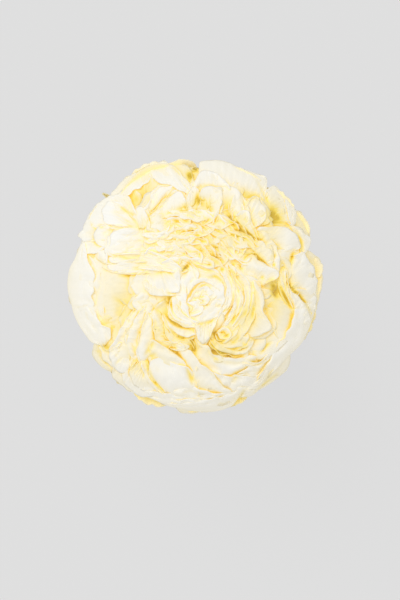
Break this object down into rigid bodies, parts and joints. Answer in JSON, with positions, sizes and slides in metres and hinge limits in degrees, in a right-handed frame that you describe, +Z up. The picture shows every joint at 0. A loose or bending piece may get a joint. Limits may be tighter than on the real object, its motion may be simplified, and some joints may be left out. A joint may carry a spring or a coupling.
{
  "type": "cut peony in a vase",
  "caption": "Full double peony bloom, head on, cut short and standing in water in a small round-bellied vase with a narrow neck.",
  "frame": {"origin": "centre of the flat foot of the vase", "axes": "+Z up along the vase's axis through the bloom, +Y towards the notch between two guard petals, which is the top of the bloom seen from above, +X to its right"},
  "size_m": [0.1416, 0.1405, 0.2457],
  "materials": {
    "petal cream": "matte",
    "calyx green": "satin",
    "stem green": "satin",
    "water": "gloss",
    "glaze": "glazed"
  },
  "bodies": {
    "root": {"petals": "petal cream", "sepals": "calyx green", "stem": "stem green", "water": "water", "vase": "glaze"}
  },
  "joints": []
}
